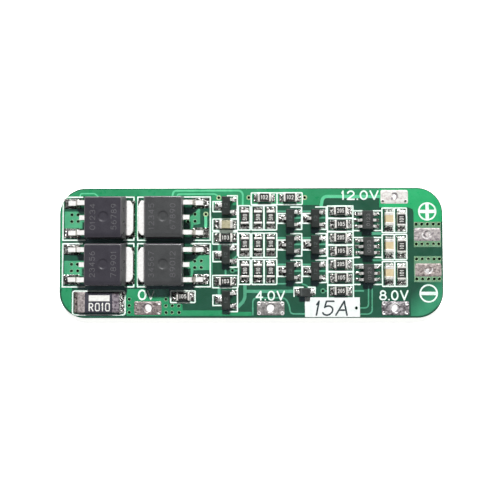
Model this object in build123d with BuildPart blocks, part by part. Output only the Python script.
"""Battery management board for a pack of three lithium cells in series.

A drilled laminate plate carries four power transistors, a current shunt, three monitor chips,
nine small transistors, a diode, chip resistors and chip capacitors, and six solder pads for the
cell and load wires. Millimetres, +Z up, the plate's underside on z = 0, the long side along X.
"""

import os

from build123d import *

os.makedirs("parts", exist_ok=True)

# ---------------------------------------------------------------- driving dimensions
BOARD_L = 59.0        # plate length, X
BOARD_W = 20.0        # plate width, Y
BOARD_T = 1.0         # plate thickness
CORNER_R = 4.0        # plate corner radius
VIA_R = 0.2           # plated via, finished radius

LAND_T = 0.1          # tinned copper land and its solder
SEAT = BOARD_T + LAND_T   # height on which every component stands

WIRE_HOLE_R = 0.6     # finished radius of an open wire hole
BARREL_T = 0.1        # plating and tin in the hole
CELL_PAD = (4.2, 2.1)     # length and width of a cell pad
PACK_PAD = (4.05, 2.0)    # length and width of a pack pad
DIMPLE_R = 0.6        # sunken solder over a filled hole
DIMPLE_D = 0.06

MOS_L, MOS_W, MOS_H = 6.1, 6.5, 2.3   # moulded body of a power transistor
MOS_PART_Z = 1.17     # parting line above the seat
MOS_TAB_W = 5.35      # heat tab width
MOS_TAB_OUT = 1.02    # heat tab beyond the body
MOS_METAL_T = 0.5     # lead frame thickness
MOS_LEAD_W = 0.78
MOS_LEAD_Y = 2.28     # outer leads from the centre line
MOS_LEAD_OUT = 2.86   # lead beyond the body
MOS_LEAD_Z = 0.92     # underside of the lead where it leaves the body, above the seat

SHUNT_L, SHUNT_W, SHUNT_T = 6.4, 3.1, 0.65
SHUNT_END = 1.15      # length of a shunt terminal

CHIP_L, CHIP_W = 2.0, 1.25    # chip resistor and chip capacitor outline
CHIP_END = 0.4        # wrap-around termination
RES_T = 0.5           # chip resistor thickness
CAP_T = 0.85          # chip capacitor thickness
WRAP_T = 0.03         # termination stands this much proud of the coat

SOT_L, SOT_W, SOT_H = 2.9, 1.3, 1.0   # three-lead transistor body
SOT_SPAN = 2.4        # across the feet
SOT_PITCH = 1.9       # between the two leads of one side
SIX_W = 1.6           # six-lead chip body width
SIX_SPAN = 2.8
SIX_PITCH = 0.95
DIODE_L, DIODE_W, DIODE_H = 1.7, 1.3, 0.95
DIODE_SPAN = 2.6
LEAD_T = 0.13         # small lead frame thickness
STAND_OFF = 0.05      # body above the seat

# ---------------------------------------------------------------- layout: x, y of each centre
MOSFETS = {           # name: (x, y, side the heat tab points to)
    "mosfet_1": (-22.08, 5.36, 1),
    "mosfet_2": (-13.24, 5.40, -1),
    "mosfet_3": (-22.10, -1.77, 1),
    "mosfet_4": (-13.24, -1.78, -1),
}
SHUNT = (-23.30, -7.52)

RESISTORS = {         # name: (x, y, long axis, x and y shift of the lands)
    "resistor_sense_1": (-10.39, -6.64, "x", -0.05, -0.08),
    "resistor_left_1": (-3.85, 2.35, "x", -0.07, -0.05),
    "resistor_left_2": (-3.87, -4.33, "x", -0.06, -0.05),
    "resistor_top_1": (2.09, 8.52, "x", -0.02, -0.10),
    "resistor_top_2": (6.04, 8.52, "x", -0.02, -0.10),
    "resistor_array_1": (-0.91, 5.45, "y", -0.03, -0.10),
    "resistor_array_2": (1.11, 5.45, "y", -0.01, -0.10),
    "resistor_array_3": (3.05, 5.45, "y", 0.00, -0.10),
    "resistor_array_4": (-0.91, 1.36, "y", -0.04, -0.16),
    "resistor_array_5": (1.11, 1.36, "y", -0.02, -0.16),
    "resistor_array_6": (3.05, 1.36, "y", -0.02, -0.16),
    "resistor_array_7": (-0.91, -2.75, "y", -0.05, -0.16),
    "resistor_array_8": (1.09, -2.75, "y", -0.01, -0.16),
    "resistor_array_9": (3.03, -2.75, "y", -0.01, -0.16),
    "resistor_column_1": (13.75, 6.44, "x", 0.10, -0.06),
    "resistor_column_2": (13.85, 4.38, "x", 0.02, -0.07),
    "resistor_column_3": (13.75, 2.34, "x", 0.10, -0.09),
    "resistor_column_4": (13.85, 0.30, "x", 0.02, -0.10),
    "resistor_column_5": (13.73, -1.74, "x", 0.10, -0.12),
    "resistor_column_6": (13.85, -3.78, "x", 0.00, -0.14),
    "resistor_column_7": (13.78, -5.83, "x", 0.05, -0.11),
    "resistor_filter_1": (23.05, 5.10, "y", 0.11, -0.15),
    "resistor_filter_2": (23.05, 1.00, "y", 0.09, -0.18),
    "resistor_filter_3": (23.01, -3.11, "y", 0.11, -0.21),
}
CAPACITORS = {
    "capacitor_left": (-3.80, 4.35, "x", -0.11, 0.01),
    "capacitor_filter_1": (21.13, 5.14, "y", 0.15, -0.18),
    "capacitor_filter_2": (21.13, 1.05, "y", 0.15, -0.23),
    "capacitor_filter_3": (21.09, -3.08, "y", 0.15, -0.24),
}
TRANSISTORS = {       # one lead on the -X side, two on the +X side
    "transistor_left_1": (-3.80, 7.23),
    "transistor_left_2": (-3.84, -0.30),
    "transistor_left_3": (-3.80, -7.17),
    "transistor_mid_1": (6.02, 5.25),
    "transistor_mid_2": (6.00, 1.21),
    "transistor_mid_3": (5.98, -2.84),
    "transistor_mid_4": (9.85, 5.25),
    "transistor_mid_5": (9.83, 1.21),
    "transistor_mid_6": (9.81, -2.84),
}
MONITORS = {          # six leads, three a side
    "monitor_chip_1": (17.83, 4.98),
    "monitor_chip_2": (17.93, 0.93),
    "monitor_chip_3": (17.97, -3.18),
}
DIODE = (8.24, -6.04)

OPEN_PADS = {         # cell pads with a through hole left open
    "cell_pad_zero": (-15.86, -8.48),
    "cell_pad_low": (3.02, -8.52),
    "cell_pad_mid": (22.14, -8.53),
}
FILLED_PADS = {       # pads whose hole is filled with solder: x, y, length, width
    "cell_pad_high": (22.10, 8.60, CELL_PAD[0], CELL_PAD[1]),
    "pack_pad_plus": (27.13, 2.78, PACK_PAD[0], PACK_PAD[1]),
    "pack_pad_minus": (27.22, -2.67, PACK_PAD[0], PACK_PAD[1]),
}
VIAS = [
    (-27.64, 5.92), (-26.68, 5.92), (-27.64, 4.88), (-26.66, 4.90),
    (-8.62, 5.98), (-9.72, 4.86), (-8.62, 4.90), (-6.95, 5.98),
    (-27.66, -1.72), (-26.74, -1.72), (-27.66, -2.74), (-26.68, -2.74),
    (-8.66, -1.26), (-7.64, -1.22), (-8.66, -2.26), (-7.64, -2.26),
    (-18.72, -7.10), (-18.72, -8.09), (-18.72, -9.10),
    (-13.08, -7.14), (-13.08, -8.14), (-12.10, -8.12), (-11.10, -8.14),
    (-13.04, -9.16), (-12.12, -9.16), (-11.06, -9.16),
    (-4.94, 8.52), (-0.30, 8.54), (8.32, 8.53), (-2.84, -2.71), (11.05, -5.87), (16.16, -8.48),
    (25.42, 4.37), (26.26, 4.37), (27.15, 4.37), (28.04, 4.37), (28.90, 4.37),
    (25.42, 1.31), (26.28, 1.31), (27.15, 1.31), (28.04, 1.31), (28.88, 1.31),
    (25.44, -0.99), (26.30, -0.99), (27.24, -0.99), (28.12, -0.99), (28.94, -0.99),
    (25.44, -4.06), (26.34, -4.06), (27.24, -4.06), (28.12, -4.06), (28.92, -4.06),
]


def upright(x, y):
    """Plane through (x, y) whose sketch axes are +X and +Z."""
    return Plane(origin=(x, y, 0), x_dir=(1, 0, 0), z_dir=(0, -1, 0))


def level(x, y, z):
    """Horizontal plane at height z, sketch axes +X and +Y."""
    return Plane(origin=(x, y, z))


# ---------------------------------------------------------------- drilled laminate plate
with BuildPart() as circuit_board:
    with BuildSketch(level(0, 0, 0)):
        RectangleRounded(BOARD_L, BOARD_W, CORNER_R)
        with Locations(*VIAS):
            Circle(VIA_R, mode=Mode.SUBTRACT)
        with Locations(*OPEN_PADS.values(), *[p[:2] for p in FILLED_PADS.values()]):
            Circle(WIRE_HOLE_R + BARREL_T, mode=Mode.SUBTRACT)
    extrude(amount=BOARD_T)
circuit_board.part.label = "circuit_board"
export_step(circuit_board.part, "parts/circuit_board.step")

# ---------------------------------------------------------------- wire pads
for pad_name, (x, y) in OPEN_PADS.items():
    with BuildPart() as wire_pad:
        with BuildSketch(level(x, y, BOARD_T)):
            RectangleRounded(CELL_PAD[0], CELL_PAD[1], 0.2)
        extrude(amount=LAND_T)
        with BuildSketch(level(x, y, 0)):
            Circle(WIRE_HOLE_R + BARREL_T)
        extrude(amount=SEAT)
        with BuildSketch(level(x, y, 0)):
            Circle(WIRE_HOLE_R)
        extrude(amount=SEAT, mode=Mode.SUBTRACT)
    wire_pad.part.label = pad_name
    export_step(wire_pad.part, "parts/" + pad_name + ".step")

for pad_name, (x, y, length, width) in FILLED_PADS.items():
    with BuildPart() as wire_pad:
        with BuildSketch(level(x, y, BOARD_T)):
            RectangleRounded(length, width, 0.2)
        extrude(amount=LAND_T)
        with BuildSketch(level(x, y, 0)):
            Circle(WIRE_HOLE_R + BARREL_T)
        extrude(amount=BOARD_T)
        with BuildSketch(level(x, y, SEAT - DIMPLE_D)):
            Circle(DIMPLE_R * 0.6)
        with BuildSketch(level(x, y, SEAT)):
            Circle(DIMPLE_R)
        loft(mode=Mode.SUBTRACT)
    wire_pad.part.label = pad_name
    export_step(wire_pad.part, "parts/" + pad_name + ".step")

# ---------------------------------------------------------------- power transistors
for mos_name, (x, y, side) in MOSFETS.items():
    heel = x - side * MOS_L / 2          # body end on the lead side
    toe = x + side * MOS_L / 2           # body end on the tab side
    lead_z = SEAT + MOS_LEAD_Z
    with BuildPart() as lead_frame:
        # heat tab, its free corners bevelled
        tab_in, tab_end = x - side * 1.7, toe + side * MOS_TAB_OUT
        half = MOS_TAB_W / 2
        with BuildSketch(level(0, y, SEAT)):
            Polygon(
                (tab_in, -half), (tab_end - side * 0.4, -half), (tab_end, -half + 0.55),
                (tab_end, half - 0.55), (tab_end - side * 0.4, half), (tab_in, half),
                align=None,
            )
        extrude(amount=MOS_METAL_T)
        # web from the tab up to the cropped centre lead
        with BuildSketch(upright(0, y)):
            Polygon(
                (tab_in, SEAT), (tab_in + side * 0.6, SEAT + 0.4), (tab_in - side * 0.1, lead_z + MOS_METAL_T),
                (heel - side * 0.9, lead_z + MOS_METAL_T), (heel - side * 0.9, lead_z), (tab_in - side * 0.5, lead_z),
                align=None,
            )
        extrude(amount=MOS_LEAD_W / 2, both=True)
        # outer leads: shoulder, slope and foot
        with BuildSketch(upright(0, y + MOS_LEAD_Y), upright(0, y - MOS_LEAD_Y)):
            Polygon(
                *[
                    (heel - side * u, z)
                    for u, z in (
                        (-1.1, lead_z), (0.98, lead_z), (1.46, SEAT), (MOS_LEAD_OUT, SEAT),
                        (MOS_LEAD_OUT, SEAT + MOS_METAL_T), (1.84, SEAT + MOS_METAL_T),
                        (1.3, lead_z + MOS_METAL_T), (-1.1, lead_z + MOS_METAL_T),
                    )
                ],
                align=None,
            )
        extrude(amount=MOS_LEAD_W / 2, both=True)
    lead_frame.part.label = mos_name + "_lead_frame"
    export_step(lead_frame.part, "parts/" + mos_name + "_lead_frame.step")

    with BuildPart() as mould:
        with BuildSketch(level(x, y, SEAT)):
            Rectangle(MOS_L - 0.24, MOS_W - 0.24)
        with BuildSketch(level(x, y, SEAT + MOS_PART_Z)):
            Rectangle(MOS_L, MOS_W)
        loft()
        with BuildSketch(level(x, y, SEAT + MOS_PART_Z)):
            Rectangle(MOS_L, MOS_W)
        with BuildSketch(level(x - side * 0.12, y, SEAT + MOS_H)):
            Rectangle(MOS_L - 0.53, MOS_W - 0.34)
        loft()
        # ejector mark in the top face
        with BuildSketch(level(x - side * 0.07, y + 0.1, SEAT + MOS_H)):
            Circle(0.64)
        extrude(amount=-0.08, mode=Mode.SUBTRACT)
        add(lead_frame.part, mode=Mode.SUBTRACT)
    mould.part.label = mos_name + "_body"
    export_step(mould.part, "parts/" + mos_name + "_body.step")

# ---------------------------------------------------------------- current shunt
with BuildPart() as shunt_body:
    with BuildSketch(level(SHUNT[0], SHUNT[1], SEAT)):
        Rectangle(SHUNT_L - 2 * SHUNT_END, SHUNT_W)
    extrude(amount=SHUNT_T)
    chamfer(shunt_body.faces().sort_by(Axis.Z)[-1].edges(), 0.08)
shunt_body.part.label = "shunt_body"
export_step(shunt_body.part, "parts/shunt_body.step")

with BuildPart() as shunt_terminals:
    shift = (SHUNT_L - SHUNT_END) / 2
    with BuildSketch(level(SHUNT[0], SHUNT[1], SEAT)):
        with Locations((-shift, 0), (shift, 0)):
            Rectangle(SHUNT_END, SHUNT_W)
    extrude(amount=SHUNT_T - 0.12)
shunt_terminals.part.label = "shunt_terminals"
export_step(shunt_terminals.part, "parts/shunt_terminals.step")

# ---------------------------------------------------------------- chip resistors and capacitors
for table, thick in ((RESISTORS, RES_T), (CAPACITORS, CAP_T)):
    for chip_name, (x, y, axis, _, _) in table.items():
        turn = 0 if axis == "x" else 90
        with BuildPart() as chip:
            with BuildSketch(level(x, y, SEAT + WRAP_T)):
                Rectangle(CHIP_L - 2 * WRAP_T, CHIP_W - 2 * WRAP_T, rotation=turn)
            extrude(amount=thick - 2 * WRAP_T)
            reach = (CHIP_L - CHIP_END) / 2
            ends = ((-reach, 0), (reach, 0)) if axis == "x" else ((0, -reach), (0, reach))
            with BuildSketch(level(x, y, SEAT)):
                with Locations(*ends):
                    Rectangle(CHIP_END, CHIP_W, rotation=turn)
            extrude(amount=thick)
        chip.part.label = chip_name
        export_step(chip.part, "parts/" + chip_name + ".step")


def gull_wing(x, direction, edge, foot_end):
    """Side view of one small lead: out of the body at mid height, down, and out along the land."""
    mid = SEAT + STAND_OFF + 0.42
    knee = edge + 0.22
    return [
        (x + direction * u, z)
        for u, z in (
            (edge - 0.2, mid), (knee, mid), (knee + 0.1, SEAT), (foot_end, SEAT),
            (foot_end, SEAT + LEAD_T), (knee + 0.24, SEAT + LEAD_T),
            (knee + 0.14, mid + LEAD_T), (edge - 0.2, mid + LEAD_T),
        )
    ]


# ---------------------------------------------------------------- small transistors
for sot_name, (x, y) in TRANSISTORS.items():
    with BuildPart() as transistor:
        with BuildSketch(level(x, y, SEAT + STAND_OFF)):
            Rectangle(SOT_W, SOT_L)
        extrude(amount=SOT_H - STAND_OFF)
        chamfer(transistor.faces().sort_by(Axis.Z)[-1].edges(), 0.1)
        with BuildSketch(upright(0, y)):
            Polygon(*gull_wing(x, -1, SOT_W / 2, SOT_SPAN / 2), align=None)
        extrude(amount=0.22, both=True)
        with BuildSketch(upright(0, y - SOT_PITCH / 2), upright(0, y + SOT_PITCH / 2)):
            Polygon(*gull_wing(x, 1, SOT_W / 2, SOT_SPAN / 2), align=None)
        extrude(amount=0.22, both=True)
    transistor.part.label = sot_name
    export_step(transistor.part, "parts/" + sot_name + ".step")

# ---------------------------------------------------------------- monitor chips
for six_name, (x, y) in MONITORS.items():
    rows = [upright(0, y + k * SIX_PITCH) for k in (-1, 0, 1)]
    with BuildPart() as monitor:
        with BuildSketch(level(x, y, SEAT + STAND_OFF)):
            Rectangle(SIX_W, SOT_L)
        extrude(amount=SOT_H + 0.1 - STAND_OFF)
        chamfer(monitor.faces().sort_by(Axis.Z)[-1].edges(), 0.1)
        for direction in (-1, 1):
            with BuildSketch(*rows):
                Polygon(*gull_wing(x, direction, SIX_W / 2, SIX_SPAN / 2), align=None)
            extrude(amount=0.2, both=True)
    monitor.part.label = six_name
    export_step(monitor.part, "parts/" + six_name + ".step")

# ---------------------------------------------------------------- diode
with BuildPart() as diode:
    with BuildSketch(level(DIODE[0], DIODE[1], SEAT + STAND_OFF)):
        Rectangle(DIODE_L, DIODE_W)
    extrude(amount=DIODE_H - STAND_OFF)
    chamfer(diode.faces().sort_by(Axis.Z)[-1].edges(), 0.1)
    for direction in (-1, 1):
        with BuildSketch(upright(0, DIODE[1])):
            Polygon(*gull_wing(DIODE[0], direction, DIODE_L / 2, DIODE_SPAN / 2), align=None)
        extrude(amount=0.17, both=True)
diode.part.label = "diode"
export_step(diode.part, "parts/diode.step")

# ---------------------------------------------------------------- tinned lands under the components
LANDS = []            # x, y, length along X, width along Y
for x, y, side in MOSFETS.values():
    toe = x + side * MOS_L / 2
    LANDS.append((toe - side * 1.7, y, 5.8, 5.7))
    for k in (-1, 1):
        LANDS.append((x - side * (MOS_L / 2 + 2.55), y + k * MOS_LEAD_Y, 2.5, 1.35))
LANDS.append((SHUNT[0] - 3.15, SHUNT[1] - 0.08, 1.6, 3.3))
LANDS.append((SHUNT[0] + 2.95, SHUNT[1] - 0.08, 1.75, 3.3))
for table in (RESISTORS, CAPACITORS):
    for x, y, axis, dx, dy in table.values():
        for k in (-1, 1):
            if axis == "x":
                LANDS.append((x + dx + k * 1.15, y + dy, 1.12, 1.4))
            else:
                LANDS.append((x + dx, y + dy + k * 1.15, 1.4, 1.12))
for x, y in TRANSISTORS.values():
    LANDS.append((x - 1.2, y, 1.2, 1.25))
    for k in (-1, 1):
        LANDS.append((x + 1.2, y + k * 1.0, 0.96, 0.9))
for x, y in MONITORS.values():
    for k in (-1, 0, 1):
        LANDS.append((x - 1.35, y + k * SIX_PITCH, 1.15, 0.58))
        LANDS.append((x + 1.42, y + k * SIX_PITCH, 1.0, 0.58))
for k in (-1, 1):
    LANDS.append((DIODE[0] + k * 1.22, DIODE[1] + 0.1, 0.85, 1.25))

with BuildPart() as solder_lands:
    for x, y, length, width in LANDS:
        with BuildSketch(level(x, y, BOARD_T)):
            Rectangle(length, width)
        extrude(amount=LAND_T)
solder_lands.part.label = "solder_lands"
export_step(solder_lands.part, "parts/solder_lands.step")
